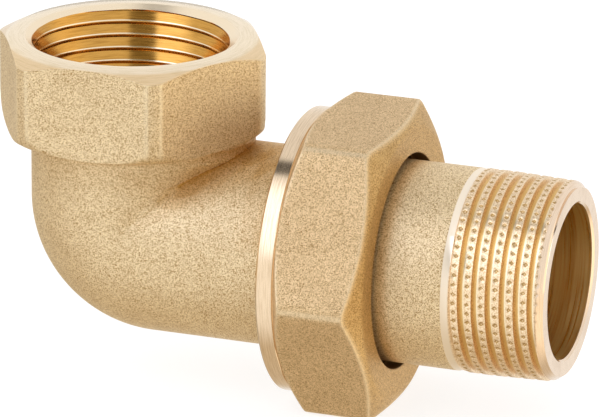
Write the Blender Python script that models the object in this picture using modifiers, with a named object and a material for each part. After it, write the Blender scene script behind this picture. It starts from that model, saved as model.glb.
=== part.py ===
"""A 1 inch brass union elbow for an irrigation line, female thread by male union tail.

Frame: the origin is the middle of the female port's face and +Z points out of that port.
The tail lies along +X, below the origin, so the two port axes cross at (0, 0, -FEMALE_REACH).
The screwed joint between body and tail is flat seated: the nut's shoulder draws the tail's
collar against a washer on the body's seat.  Blender units are metres.
"""
import math

import bmesh
import bpy
from mathutils import Matrix, Vector

MM = 0.001
INCH = 25.4 * MM

# Ports: distance from the crossing of the two axes to each port's face
FEMALE_REACH = 33.2 * MM
MALE_REACH = 76.0 * MM

# Pipe threads of the ISO 7 and ISO 228 form, 11 threads to the inch
PITCH = INCH / 11
THREAD_DEPTH = 0.6403 * PITCH
CREST_SHARE = 0.16
PORT_THREAD_MAJOR = 33.249 * MM / 2
UNION_THREAD_MAJOR = 41.910 * MM / 2
TAPER = 1 / 32
PORT_THREAD_LENGTH = 16.8 * MM
GAUGE_LENGTH = 10.4 * MM

# Elbow body
TUBE_RADIUS = 16.6 * MM
BORE_RADIUS = 12.75 * MM
BEND_RADIUS = 6.0 * MM
SOCKET_FLATS = 41.0 * MM
SOCKET_CORNER = 2.5 * MM
SOCKET_FACE_RADIUS = 20.1 * MM
SOCKET_CHAMFER = 2.4
SOCKET_ROUND_START = 12.3 * MM
SOCKET_ROUND_RADIUS = 3.7 * MM
SOCKET_ROUND_CENTRE = 19.35 * MM
SOCKET_FILLET = 1.0 * MM
COUNTERSINK_RADIUS = 17.5 * MM
FEMALE_THREAD_LENGTH = 15.0 * MM
UNION_THREAD_START = 30.7 * MM
SEAT = 38.4 * MM

# Union nut
NUT_BACK = 30.2 * MM
COLLAR_BAND_END = 33.3 * MM
NUT_FRONT = 48.0 * MM
NUT_FLATS = 47.0 * MM
NUT_CORNER = 3.0 * MM
NUT_TURN = math.radians(3.3)
NUT_FACE_RADIUS = 22.2 * MM
NUT_FRONT_CHAMFER = 2.28
NUT_BACK_CHAMFER_LENGTH = 2.4 * MM
NUT_HOLE_RADIUS = 17.75 * MM
NUT_SHOULDER = 44.9 * MM
NUT_RELIEF_START = 39.6 * MM
NUT_RELIEF_RADIUS = 19.9 * MM
NUT_THREAD_CLEARANCE = 0.42 * MM
NUT_MINOR_RADIUS = UNION_THREAD_MAJOR - 1.58 * MM
NUT_MOUTH_LENGTH = 2.2 * MM

# Washer and tail
PLAY = 0.3 * MM
WASHER_THICKNESS = 2.0 * MM
WASHER_RADIUS = 19.0 * MM
WASHER_HOLE_RADIUS = 13.5 * MM
COLLAR_RADIUS = 19.1 * MM
COLLAR_END = NUT_SHOULDER - PLAY
NECK_RADIUS = 16.6 * MM
NECK_FILLET = 0.6 * MM
END_CHAMFER = 1.2 * MM
THREAD_END_CHAMFER = 0.8 * MM
EDGE = 0.3 * MM

# Facets of round shapes
STEPS = 36
CORNER_STEPS = 3
ROUND_STEPS = 5
BEND_STEP = math.radians(5)
BEND_STEPS = 20
MERGE = 0.001 * MM
OVERLAP = 1.0 * MM

TOP_OF_AXIS = Vector((0, 0, -FEMALE_REACH))
ALONG_X = Matrix.Rotation(math.radians(90), 4, "Y")


def clear_scene():
    """Remove the objects and collections of the open scene."""
    for old in list(bpy.data.objects):
        bpy.data.objects.remove(old, do_unlink=True)
    for old in list(bpy.data.collections):
        bpy.data.collections.remove(old)


def new_collection(name):
    """Return a new collection linked to the scene."""
    made = bpy.data.collections.new(name)
    bpy.context.scene.collection.children.link(made)
    return made


def finish_material(name, colour, roughness, metallic):
    """Return a Principled BSDF material."""
    material = bpy.data.materials.new(name)
    material.use_nodes = True
    shader = material.node_tree.nodes["Principled BSDF"]
    shader.inputs["Base Color"].default_value = (*colour, 1)
    shader.inputs["Roughness"].default_value = roughness
    shader.inputs["Metallic"].default_value = metallic
    return material


def object_from(bm, name, collection):
    """Turn a bmesh into an object in a collection and free the bmesh."""
    mesh = bpy.data.meshes.new(name)
    bm.to_mesh(mesh)
    bm.free()
    made = bpy.data.objects.new(name, mesh)
    collection.objects.link(made)
    return made


def mark_cutter(tool):
    """Keep a guide shape out of the renders."""
    tool.hide_render = True
    tool.display_type = "WIRE"
    return tool


def turned(name, outline, collection):
    """Return an outline of (radius, height) points turned about Z by a Screw modifier.

    The outline runs down the outer side.  It is open where it starts and ends on the axis,
    and closed otherwise.
    """
    bm = bmesh.new()
    points = [bm.verts.new((radius, 0, height)) for radius, height in outline]
    for first, second in zip(points, points[1:]):
        bm.edges.new((first, second))
    on_axis = outline[0][0] == 0 and outline[-1][0] == 0
    if not on_axis:
        bm.edges.new((points[-1], points[0]))
    made = object_from(bm, name, collection)
    screw = made.modifiers.new("turn", "SCREW")
    screw.steps = STEPS
    screw.render_steps = STEPS
    screw.use_merge_vertices = True
    screw.merge_threshold = MERGE
    return made


def cylinder(name, radius, start, end, collection):
    """Return a capped cylinder on the Z axis between two heights."""
    bm = bmesh.new()
    place = Matrix.Translation((0, 0, (start + end) / 2))
    bmesh.ops.create_cone(bm, cap_ends=True, segments=STEPS, radius1=radius, radius2=radius,
                          depth=end - start, matrix=place)
    return object_from(bm, name, collection)


def hexagon_bar(name, flats, corner, start, end, collection):
    """Return a hexagon bar on the Z axis with rounded edges and a corner on +X."""
    bm = bmesh.new()
    corner_reach = flats / math.sqrt(3)
    place = Matrix.Translation((0, 0, (start + end) / 2)) @ Matrix.Rotation(math.radians(30), 4, "Z")
    bmesh.ops.create_cone(bm, cap_ends=True, segments=6, radius1=corner_reach,
                          radius2=corner_reach, depth=end - start, matrix=place)
    first = min(bm.verts, key=lambda point: abs(point.co.y) - point.co.x).co
    turn = Matrix.Rotation(-math.atan2(first.y, first.x), 4, "Z")
    bmesh.ops.transform(bm, matrix=turn, verts=bm.verts)
    upright = [edge for edge in bm.edges
               if abs(edge.verts[0].co.z - edge.verts[1].co.z) > (end - start) / 2]
    bmesh.ops.bevel(bm, geom=upright, offset=corner * math.tan(math.radians(30)),
                    segments=CORNER_STEPS, profile=0.5, affect="EDGES")
    return object_from(bm, name, collection)


def thread_point(turn, row, length, crest_start, crest_end, chamfer):
    """Return the (radius, height) of one point of a thread's surface.

    Four rows of points climb each turn of the helix: the ends of the crest and of the root.
    Rows beyond the thread's ends are held at its end faces.
    """
    flank = 0.5 - CREST_SHARE
    phases = (CREST_SHARE / 2, CREST_SHARE / 2 + flank,
              CREST_SHARE * 1.5 + flank, CREST_SHARE * 1.5 + 2 * flank)
    climb = (row // 4 - 1 + turn) * PITCH
    height = min(max(climb + phases[row % 4] * PITCH, 0), length)
    phase = (height / PITCH - turn) % 1
    from_root = min(phase, 1 - phase) - CREST_SHARE / 2
    share = min(max(from_root / flank, 0), 1)
    crest = crest_start + (crest_end - crest_start) * height / length
    radius = crest - THREAD_DEPTH * (1 - share)
    to_end = min(height, length - height)
    limit = crest - max(chamfer - to_end, 0)
    return min(radius, limit), height


def threaded_rod(name, length, crest_start, crest_end, collection, chamfer=0.0, clearance=0.0):
    """Return a closed rod on the Z axis with a right-hand thread over its whole length.

    crest_start and crest_end are the crest radii at its two ends, clearance widens it all.
    """
    turns = math.ceil(length / PITCH) + 2
    rows = 4 * turns
    bm = bmesh.new()
    columns = []
    for step in range(STEPS + 1):
        angle = math.tau * step / STEPS
        column = []
        for row in range(rows):
            radius, height = thread_point(step / STEPS, row, length, crest_start, crest_end, chamfer)
            radius += clearance
            column.append(bm.verts.new((radius * math.cos(angle), radius * math.sin(angle), height)))
        columns.append(column)
    for left, right in zip(columns, columns[1:]):
        for row in range(rows - 1):
            bm.faces.new((left[row], right[row], right[row + 1], left[row + 1]))
    bmesh.ops.remove_doubles(bm, verts=bm.verts, dist=MERGE)
    bmesh.ops.holes_fill(bm, edges=bm.edges, sides=0)
    bmesh.ops.triangulate(bm, faces=bm.faces)
    bmesh.ops.recalc_face_normals(bm, faces=bm.faces)
    return object_from(bm, name, collection)


def place_along_x(made, start):
    """Lay a shape made on the Z axis along the tail's axis, its height 0 at this X."""
    made.matrix_world = Matrix.Translation(TOP_OF_AXIS + Vector((start, 0, 0))) @ ALONG_X


def combine(target, tool, operation):
    """Add a Boolean modifier that works on target with tool."""
    boolean = target.modifiers.new(operation.lower() + " " + tool.name, "BOOLEAN")
    boolean.operation = operation
    boolean.solver = "EXACT"
    boolean.object = tool


def smooth_round(made, material):
    """Give an object its material and smooth shading with sharp edges kept."""
    made.data.materials.append(material)
    made.data.shade_smooth()
    made.data.set_sharp_from_angle(angle=math.radians(30))


def elbow_form(name, radius, up_end, out_end, cutters):
    """Return a round elbow of one radius: an upright leg, a leg along X and their bend.

    The bend's centre line is tighter than the radius, so the outside is rounded by a piece
    turned about the bend's own axis, and the inside is the crease of the two legs.  That
    piece covers the quarter turn and one step more at each end.
    """
    upright = mark_cutter(cylinder(name + "_upright", radius, BEND_RADIUS, up_end, cutters))
    upright.location = TOP_OF_AXIS
    level = mark_cutter(cylinder(name + "_level", radius, BEND_RADIUS, out_end, cutters))
    place_along_x(level, 0)

    section = []
    for step in range(STEPS + 1):
        angle = math.pi - math.tau * step / STEPS
        section.append((BEND_RADIUS + radius * math.cos(angle), radius * math.sin(angle)))
    side_on_axis = math.sqrt(radius ** 2 - BEND_RADIUS ** 2)
    outline = [(0, side_on_axis)]
    outline += [(reach, side) for reach, side in section if reach > 0]
    outline += [(0, -side_on_axis)]
    bm = bmesh.new()
    bm.faces.new([bm.verts.new((reach, 0, side)) for reach, side in outline])
    bmesh.ops.spin(bm, geom=bm.faces[:] + bm.edges[:] + bm.verts[:], cent=(0, 0, 0),
                   axis=(0, 0, 1), angle=BEND_STEPS * BEND_STEP, steps=BEND_STEPS)
    bmesh.ops.remove_doubles(bm, verts=bm.verts, dist=MERGE)
    bmesh.ops.recalc_face_normals(bm, faces=bm.faces)
    bend = object_from(bm, name, cutters)
    bend_axis = Matrix.Rotation(math.radians(90), 4, "X")
    turn_back = Matrix.Rotation(math.radians(180) - BEND_STEP, 4, "Z")
    centre = TOP_OF_AXIS + Vector((BEND_RADIUS, 0, BEND_RADIUS))
    bend.matrix_world = Matrix.Translation(centre) @ bend_axis @ turn_back
    combine(bend, upright, "UNION")
    combine(bend, level, "UNION")
    return bend


def make_elbow_body(parts, cutters, brass):
    """Forged body: hexagon socket with the female thread, bend, union thread and flat seat."""
    flat_end = SOCKET_ROUND_START + SOCKET_ROUND_RADIUS
    underside = flat_end + SOCKET_FILLET
    body = elbow_form("elbow_body", TUBE_RADIUS, FEMALE_REACH - flat_end + OVERLAP,
                      UNION_THREAD_START + OVERLAP, cutters)
    cutters.objects.unlink(body)
    parts.objects.link(body)

    socket = mark_cutter(hexagon_bar("socket_hexagon", SOCKET_FLATS, SOCKET_CORNER,
                                     -underside - OVERLAP / 2, 0, cutters))
    corner = SOCKET_FLATS / math.sqrt(3) + OVERLAP
    rounding = []
    for step in range(ROUND_STEPS + 1):
        angle = math.pi / 2 * step / ROUND_STEPS
        rounding.append((SOCKET_ROUND_CENTRE + SOCKET_ROUND_RADIUS * math.cos(angle),
                         -SOCKET_ROUND_START - SOCKET_ROUND_RADIUS * math.sin(angle)))
    envelope = mark_cutter(turned("socket_envelope", [
        (0, OVERLAP),
        (SOCKET_FACE_RADIUS - SOCKET_CHAMFER * OVERLAP, OVERLAP),
        (SOCKET_FACE_RADIUS, 0),
        (corner, -(corner - SOCKET_FACE_RADIUS) / SOCKET_CHAMFER),
        (corner, -SOCKET_ROUND_START + 2 * OVERLAP),
        *rounding,
        (TUBE_RADIUS + SOCKET_FILLET, -flat_end),
        (TUBE_RADIUS - OVERLAP, -underside - OVERLAP),
        (0, -underside - OVERLAP),
    ], cutters))
    combine(socket, envelope, "INTERSECT")
    combine(body, socket, "UNION")

    union_thread = mark_cutter(threaded_rod("union_thread", SEAT - UNION_THREAD_START,
                                            UNION_THREAD_MAJOR, UNION_THREAD_MAJOR, cutters,
                                            chamfer=THREAD_END_CHAMFER))
    place_along_x(union_thread, UNION_THREAD_START)
    combine(body, union_thread, "UNION")

    female_thread = mark_cutter(threaded_rod("female_thread", FEMALE_THREAD_LENGTH,
                                             PORT_THREAD_MAJOR, PORT_THREAD_MAJOR, cutters))
    female_thread.location = (0, 0, -FEMALE_THREAD_LENGTH)
    combine(body, female_thread, "DIFFERENCE")

    countersink = mark_cutter(turned("countersink", [
        (0, OVERLAP),
        (COUNTERSINK_RADIUS + OVERLAP, OVERLAP),
        (COUNTERSINK_RADIUS - 2.5 * MM, -2.5 * MM),
        (0, -2.5 * MM),
    ], cutters))
    combine(body, countersink, "DIFFERENCE")

    waterway = mark_cutter(elbow_form("waterway", BORE_RADIUS,
                                      FEMALE_REACH - FEMALE_THREAD_LENGTH + OVERLAP,
                                      SEAT + OVERLAP, cutters))
    combine(body, waterway, "DIFFERENCE")
    smooth_round(body, brass)
    return body


def make_union_nut(parts, cutters, brass):
    """Union nut: hexagon with a turned band at its open end and an inner shoulder."""
    length = NUT_FRONT - NUT_BACK
    band = COLLAR_BAND_END - NUT_BACK
    nut = hexagon_bar("union_nut", NUT_FLATS, NUT_CORNER, 0, length, parts)
    place_along_x(nut, NUT_BACK)
    nut.matrix_world = nut.matrix_world @ Matrix.Rotation(NUT_TURN + math.radians(30), 4, "Z")
    corner = NUT_FLATS / math.sqrt(3) + OVERLAP
    flat = NUT_FLATS / 2
    envelope = mark_cutter(turned("nut_envelope", [
        (0, length + OVERLAP),
        (NUT_FACE_RADIUS - NUT_FRONT_CHAMFER * OVERLAP, length + OVERLAP),
        (NUT_FACE_RADIUS, length),
        (corner, length - (corner - NUT_FACE_RADIUS) / NUT_FRONT_CHAMFER),
        (corner, band + NUT_BACK_CHAMFER_LENGTH),
        (flat, band),
        (flat, EDGE),
        (flat - EDGE, 0),
        (flat - EDGE, -OVERLAP),
        (0, -OVERLAP),
    ], cutters))
    place_along_x(envelope, NUT_BACK)
    combine(nut, envelope, "INTERSECT")

    thread_end = NUT_RELIEF_START + OVERLAP - UNION_THREAD_START
    nut_thread = mark_cutter(threaded_rod("nut_thread", thread_end + PITCH, UNION_THREAD_MAJOR,
                                          UNION_THREAD_MAJOR, cutters,
                                          clearance=NUT_THREAD_CLEARANCE))
    place_along_x(nut_thread, UNION_THREAD_START - PITCH)
    combine(nut, nut_thread, "DIFFERENCE")

    mouth_radius = UNION_THREAD_MAJOR + NUT_THREAD_CLEARANCE + EDGE
    bore = mark_cutter(turned("nut_bore", [
        (0, NUT_FRONT - NUT_BACK + OVERLAP),
        (NUT_HOLE_RADIUS, NUT_FRONT - NUT_BACK + OVERLAP),
        (NUT_HOLE_RADIUS, NUT_SHOULDER - NUT_BACK),
        (NUT_RELIEF_RADIUS, NUT_SHOULDER - NUT_BACK),
        (NUT_RELIEF_RADIUS, NUT_RELIEF_START - NUT_BACK),
        (NUT_MINOR_RADIUS, NUT_RELIEF_START - NUT_BACK - EDGE),
        (NUT_MINOR_RADIUS, NUT_MOUTH_LENGTH),
        (mouth_radius, 0),
        (mouth_radius, -OVERLAP),
        (0, -OVERLAP),
    ], cutters))
    place_along_x(bore, NUT_BACK)
    combine(nut, bore, "DIFFERENCE")
    smooth_round(nut, brass)
    return nut


def make_sealing_washer(parts, rubber):
    """Flat washer between the body's seat and the tail's collar."""
    washer = turned("sealing_washer", [
        (WASHER_RADIUS, WASHER_THICKNESS),
        (WASHER_RADIUS, 0),
        (WASHER_HOLE_RADIUS, 0),
        (WASHER_HOLE_RADIUS, WASHER_THICKNESS),
    ], parts)
    place_along_x(washer, SEAT + PLAY)
    smooth_round(washer, rubber)
    return washer


def make_tail_piece(parts, cutters, brass):
    """Tail: inner collar, neck and the tapered male thread, bored through."""
    start = SEAT + WASHER_THICKNESS + 2 * PLAY
    collar = COLLAR_END - start
    thread_start = MALE_REACH - PORT_THREAD_LENGTH - start
    core = PORT_THREAD_MAJOR - THREAD_DEPTH - OVERLAP
    end = MALE_REACH - start
    tail = turned("tail_piece", [
        (0, end - OVERLAP),
        (core, end - OVERLAP),
        (core, thread_start + OVERLAP / 2),
        (NECK_RADIUS, thread_start + OVERLAP / 2),
        (NECK_RADIUS, collar + NECK_FILLET),
        (NECK_RADIUS + NECK_FILLET, collar),
        (COLLAR_RADIUS, collar),
        (COLLAR_RADIUS, EDGE),
        (COLLAR_RADIUS - EDGE, 0),
        (0, 0),
    ], parts)
    place_along_x(tail, start)

    gauge_plane = MALE_REACH - GAUGE_LENGTH
    crest_start = PORT_THREAD_MAJOR + (gauge_plane - (MALE_REACH - PORT_THREAD_LENGTH)) * TAPER
    crest_end = PORT_THREAD_MAJOR - GAUGE_LENGTH * TAPER
    thread = mark_cutter(threaded_rod("tail_thread", PORT_THREAD_LENGTH, crest_start, crest_end,
                                      cutters, chamfer=END_CHAMFER))
    place_along_x(thread, start + thread_start)
    combine(tail, thread, "UNION")

    bore = mark_cutter(cylinder("tail_bore", BORE_RADIUS, -OVERLAP, end + OVERLAP, cutters))
    place_along_x(bore, start)
    combine(tail, bore, "DIFFERENCE")
    smooth_round(tail, brass)
    return tail


def main():
    """Build the whole fitting."""
    clear_scene()
    parts = new_collection("union_elbow")
    cutters = new_collection("cutters")
    forged = finish_material("forged_brass", (0.62, 0.45, 0.24), 0.45, 1.0)
    turned_brass = finish_material("turned_brass", (0.75, 0.58, 0.34), 0.25, 1.0)
    rubber = finish_material("washer_rubber", (0.03, 0.03, 0.03), 0.8, 0.0)
    make_elbow_body(parts, cutters, forged)
    make_union_nut(parts, cutters, forged)
    make_sealing_washer(parts, rubber)
    make_tail_piece(parts, cutters, turned_brass)


main()
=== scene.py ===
"""Looks of the brass union elbow: fine meshes, brass finishes, floor, studio light and camera."""
import math

import bmesh
import bpy
import numpy as np
from mathutils import Matrix, Vector
from mathutils.bvhtree import BVHTree


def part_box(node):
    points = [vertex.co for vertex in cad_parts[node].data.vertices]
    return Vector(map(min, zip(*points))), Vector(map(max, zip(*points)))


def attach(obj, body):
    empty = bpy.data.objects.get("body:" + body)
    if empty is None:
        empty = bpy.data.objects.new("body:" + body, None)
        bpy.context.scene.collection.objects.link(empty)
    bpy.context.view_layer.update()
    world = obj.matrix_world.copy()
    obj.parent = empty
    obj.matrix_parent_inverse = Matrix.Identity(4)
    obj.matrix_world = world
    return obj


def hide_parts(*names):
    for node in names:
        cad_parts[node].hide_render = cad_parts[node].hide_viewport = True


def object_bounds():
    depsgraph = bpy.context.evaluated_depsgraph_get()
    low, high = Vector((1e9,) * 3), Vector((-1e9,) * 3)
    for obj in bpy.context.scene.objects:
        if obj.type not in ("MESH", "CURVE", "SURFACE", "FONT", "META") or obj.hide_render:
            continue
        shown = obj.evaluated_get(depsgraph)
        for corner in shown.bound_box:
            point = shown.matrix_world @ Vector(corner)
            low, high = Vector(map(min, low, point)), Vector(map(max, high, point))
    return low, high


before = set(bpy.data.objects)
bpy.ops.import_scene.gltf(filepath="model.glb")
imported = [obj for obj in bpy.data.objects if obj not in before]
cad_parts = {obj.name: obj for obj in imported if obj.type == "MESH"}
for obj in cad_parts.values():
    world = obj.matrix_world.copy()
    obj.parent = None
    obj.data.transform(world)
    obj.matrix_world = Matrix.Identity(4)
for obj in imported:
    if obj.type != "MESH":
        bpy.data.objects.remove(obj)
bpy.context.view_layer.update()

MM = 0.001

# Sizes and places that the frame gives
nut_low, nut_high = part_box("union_nut")
tail_low, tail_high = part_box("tail_piece")
washer_low, washer_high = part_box("sealing_washer")
AXIS_Z = (tail_low.z + tail_high.z) / 2
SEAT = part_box("elbow_body")[1].x
NUT_BACK = nut_low.x
NUT_FRONT = nut_high.x
TAIL_START = tail_low.x
TAIL_END = tail_high.x

# Pipe threads: 11 turns to the inch, 1 inch ports and a 1 1/4 inch union thread
PITCH = 25.4 * MM / 11
THREAD_DEPTH = 0.6403 * PITCH
PORT_MAJOR = 33.249 * MM / 2
UNION_MAJOR = 41.910 * MM / 2
GAUGE_LENGTH = 10.4 * MM
TAPER = 1 / 32

# Elbow: the female port's face is at Z 0, and the tube ends at the seat
TUBE_RADIUS = 16.6 * MM
BORE_RADIUS = 12.75 * MM
BEND_RADIUS = 6.0 * MM
UNION_THREAD_START = 30.7 * MM
UNION_FLAT = 0.09
SEAT_HOLE_RADIUS = 14.5 * MM

# Socket: hexagon with arcs for corners, turned chamfer on top, forged rounding below
SOCKET_FLATS = 41.0 * MM
SOCKET_CORNER_REACH = 23.05 * MM
SOCKET_CORNER_BEND = 8.0 * MM
SOCKET_FACE_RADIUS = 20.1 * MM
CHAMFER_SLOPE = math.tan(math.radians(27))
SOCKET_BOTTOM = -16.0 * MM
ROUND_RADIUS = 3.7 * MM
ROUND_REACH = 23.05 * MM
SOCKET_FILLET = 1.0 * MM

# Web in the inner corner of the bend, at heights above the tail's axis
WEB_REACH = 4.4 * MM
WEB_LOW, WEB_HIGH = 8.5 * MM, 15.6 * MM

# Female thread, cut shallow
COUNTERSINK_RADIUS = 17.5 * MM
COUNTERSINK_SLOPE = 1.25
FEMALE_DEPTH = 15.0 * MM
TAPPED_DEPTH = 0.30 * PITCH

# Nut: turned band at the back, hexagon between two cones, hole for the neck
NUT_FLATS = 47.0 * MM
NUT_CORNER_REACH = 26.67 * MM
NUT_CORNER_BEND = 3.0 * MM
NUT_TURN = math.radians(3.3)
NUT_FACE_RADIUS = 22.2 * MM
NUT_BACK_SLOPE = 1 / math.tan(math.radians(29))
NUT_FRONT_SLOPE = 1 / math.tan(math.radians(24.5))
NUT_HOLE_RADIUS = 17.75 * MM
NUT_SHOULDER = 44.9 * MM
NUT_RELIEF_START = 39.6 * MM
NUT_RELIEF_RADIUS = 19.9 * MM
BAND_END = 33.3 * MM
BAND_STEP = 0.1 * MM
THREAD_CLEARANCE = 0.42 * MM

# Tail: collar, neck and male thread; its length and origin are measured from the end
NECK_RADIUS = 16.6 * MM
COLLAR_RADIUS = 19.1 * MM
COLLAR_END = 44.6 * MM
PORT_THREAD_LENGTH = 15.7 * MM
PORT_THREAD_ORIGIN = 17.48 * MM
SERRATIONS = 68
DENT_PHASE = 0.45
END_CHAMFER = 1.15 * MM
END_CHAMFER_SLOPE = 0.75
BORE_EASE = 0.35 * MM
WASHER_HOLE_RADIUS = 13.5 * MM

# Material zones of the body: outside, female thread, waterway
OUTSIDE, TAPPED, BORED = range(3)

# Fineness of the meshes
COLUMNS = 384
TAIL_COLUMNS = SERRATIONS * 8
ROWS_PER_PITCH = 16
HOLLOW_RAYS = 24


# ---------------------------------------------------------------- mesh tools

def fixed(columns, points):
    """Rows of a profile that are the same all round: (radius, height) points."""
    rows = np.array(points, float)
    return np.broadcast_to(rows, (columns + 1, *rows.shape))


def line(start, end, count):
    """count points from start up to, but without, end."""
    share = np.arange(count)[:, None] / count
    return list(map(tuple, np.array(start) + (np.array(end) - np.array(start)) * share))


def rows_between(start, end, count):
    """Heights of count rows in each column, from start up to, but without, end."""
    return start + (end - start) * np.arange(count)[None, :] / count


def angle_from_corner(angle):
    """Angle to the nearest corner of a hexagon with one corner at angle 0."""
    return np.abs((angle + math.pi / 6) % (math.pi / 3) - math.pi / 6)


def hexagon_radius(angle, flats, reach, bend):
    """Radius of a hexagon with one corner at angle 0, each corner an arc out to its reach."""
    from_corner = angle_from_corner(angle)
    flat = flats / 2 / np.cos(math.pi / 6 - from_corner)
    centre = reach - bend
    root = np.sqrt(np.maximum(bend ** 2 - (centre * np.sin(from_corner)) ** 2, 0))
    arc = centre * np.cos(from_corner) + root
    # Beyond the foot of the arc centre's perpendicular there is only the flat
    foot = math.pi / 6 - math.atan(centre / flats)
    return np.where(from_corner < foot, np.minimum(flat, arc), flat)


def soft_min(first, second, width):
    """The lower of two values, rounded over a width where they cross."""
    share = np.clip(0.5 + 0.5 * (second - first) / np.maximum(width, 1e-9), 0, 1)
    return second * (1 - share) + first * share - width * share * (1 - share)


def thread_share(phase, crest, root, rounding=0.55):
    """Height of a thread's form from 0 in the root to 1 on the crest, rounded at both.

    crest and root are half of the flats there, in pitches.
    """
    from_crest = np.abs(phase % 1 - 0.5)
    share = np.clip((0.5 - root - from_crest) / (0.5 - root - crest), 0, 1)
    smooth = share * share * (3 - 2 * share)
    return (1 - rounding) * share + rounding * smooth


def helix_rows(columns, start, length, origin):
    """Heights of rows that climb one pitch a turn, held between start and start + length.

    Returns the heights and the phase of the thread there. origin is where the phase is 0
    at angle 0.
    """
    turn = np.linspace(0, 1, columns + 1)[:, None]
    count = (math.ceil(length / PITCH) + 2) * ROWS_PER_PITCH
    first = math.floor((start - origin) / PITCH - 1) * PITCH + origin
    height = first + (np.arange(count)[None, :] / ROWS_PER_PITCH + turn) * PITCH
    height = np.clip(height, start, start + length)
    return height, (height - origin) / PITCH - turn


def grid_object(name, points, closed, zone=OUTSIDE):
    """Mesh object from points[column, row], joined round the columns and merged.

    closed joins the last row to the first one. zone is the material index of its faces.
    """
    columns, rows = points.shape[0] - 1, points.shape[1]
    index = np.arange((columns + 1) * rows).reshape(columns + 1, rows)
    below = index if closed else index[:, :-1]
    above = np.roll(index, -1, axis=1) if closed else index[:, 1:]
    quads = np.stack([below[:-1], below[1:], above[1:], above[:-1]], -1).reshape(-1, 4)
    mesh = bpy.data.meshes.new(name)
    mesh.from_pydata(points.reshape(-1, 3).tolist(), [], quads.tolist())
    bm = bmesh.new()
    bm.from_mesh(mesh)
    bmesh.ops.remove_doubles(bm, verts=bm.verts, dist=0.001 * MM)
    bmesh.ops.recalc_face_normals(bm, faces=bm.faces)
    for face in bm.faces:
        face.material_index = zone
    bm.to_mesh(mesh)
    bm.free()
    made = bpy.data.objects.new(name, mesh)
    bpy.context.scene.collection.objects.link(made)
    return made


def around_z(profile):
    """Points of a profile [column, row, (radius, height)] turned about the port's axis."""
    angle = np.linspace(0, math.tau, profile.shape[0])[:, None]
    radius, height = profile[..., 0], profile[..., 1]
    return np.stack([radius * np.cos(angle), radius * np.sin(angle), height], -1)


def around_x(profile):
    """Points of a profile turned about the tail's axis; the height is X."""
    angle = np.linspace(0, math.tau, profile.shape[0])[:, None]
    radius, height = profile[..., 0], profile[..., 1]
    return np.stack([height, radius * np.sin(angle), AXIS_Z - radius * np.cos(angle)], -1)


def combine(target, tool, operation):
    """Apply a Boolean of target with tool, and remove the tool."""
    boolean = target.modifiers.new(operation, "BOOLEAN")
    boolean.operation = operation
    boolean.solver = "MANIFOLD"
    boolean.object = tool
    bpy.context.view_layer.update()
    evaluated = target.evaluated_get(bpy.context.evaluated_depsgraph_get())
    result = bpy.data.meshes.new_from_object(evaluated)
    target.modifiers.clear()
    target.data = result
    bpy.data.objects.remove(tool)


def shade(made, degrees=28):
    """Smooth shading with edges sharper than this angle kept sharp."""
    made.data.shade_smooth()
    made.data.set_sharp_from_angle(angle=math.radians(degrees))


def vertex_places(made):
    """X, Y and Z of every vertex, as three arrays."""
    places = np.empty(len(made.data.vertices) * 3)
    made.data.vertices.foreach_get("co", places)
    return places.reshape(-1, 3).T


def store(made, name, values):
    """Keep one number for each vertex, for a material to read."""
    layer = made.data.attributes.new(name, "FLOAT", "POINT")
    layer.data.foreach_set("value", values.astype(np.float32))


# ---------------------------------------------------------------- elbow body

def above_tail(angle):
    """1 on the side of the socket that is above the tail, falling to 0 round it."""
    from_tail = (angle + math.pi) % math.tau - math.pi
    return np.exp(-(from_tail / math.radians(42)) ** 2)


def web_radius(angle, height):
    """Radius of the web that fills the inner corner of the elbow, under the socket.

    Away from the corner it lies just inside the tube.
    """
    inset = 0.3 * MM
    share = np.clip((height - AXIS_Z - WEB_LOW) / (WEB_HIGH - WEB_LOW), 0, 1)
    return TUBE_RADIUS - inset + (WEB_REACH + inset) * above_tail(angle) * share ** 1.5


def socket_wall(angle, bottom, rounding):
    """Rows of the hexagon, from the turned cone on top to the forged rounding below."""
    hexagon = hexagon_radius(angle, SOCKET_FLATS, SOCKET_CORNER_REACH, SOCKET_CORNER_BEND)
    edge = (SOCKET_FACE_RADIUS - hexagon) * CHAMFER_SLOPE
    turn = np.linspace(0, math.pi / 2, 24)[None, :]
    height = np.concatenate([
        rows_between(0 * edge, edge, 8),
        rows_between(edge, bottom + rounding, 16),
        bottom + rounding * (1 - np.sin(turn))], 1)
    cone = SOCKET_FACE_RADIUS - height / CHAMFER_SLOPE
    above_round = np.maximum(height - bottom - rounding, 0)
    drop = np.clip(bottom + rounding - height, 0, rounding)
    draft = 0.35 * above_round
    rounded = ROUND_REACH - rounding + np.sqrt(rounding ** 2 - drop ** 2) + draft
    radius = np.minimum(soft_min(hexagon, rounded, 0.5 * MM), cone)
    return np.stack([radius, height], -1)


def socket_solid():
    """Hexagon socket without its bore, with the fillet and the web that join it to the tube.

    Above the tail it ends higher and with a tighter rounding.
    """
    angle = np.linspace(0, math.tau, COLUMNS + 1)[:, None]
    near = above_tail(angle)
    rounding = ROUND_RADIUS - 1.9 * MM * near
    bottom = SOCKET_BOTTOM + 1.1 * MM * near
    wall = socket_wall(angle, bottom, rounding)

    turn = np.linspace(0, math.pi / 2, 8)[None, :]
    neck_height = bottom - SOCKET_FILLET * (1 - np.cos(turn))
    fillet_radius = TUBE_RADIUS + SOCKET_FILLET * (1 - np.sin(turn))
    neck = np.stack([np.maximum(fillet_radius, web_radius(angle, neck_height)), neck_height], -1)
    web_end = AXIS_Z + WEB_LOW - 1.0 * MM
    web_height = rows_between(bottom - SOCKET_FILLET - 0.1 * MM, web_end, 24)
    web = np.stack([web_radius(angle, web_height), web_height], -1)
    cap = fixed(COLUMNS, [(0, 0), (10 * MM, 0)])
    floor = fixed(COLUMNS, [(0, web_end)])
    return grid_object("socket", around_z(np.concatenate([cap, wall, neck, web, floor], 1)), False)


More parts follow.
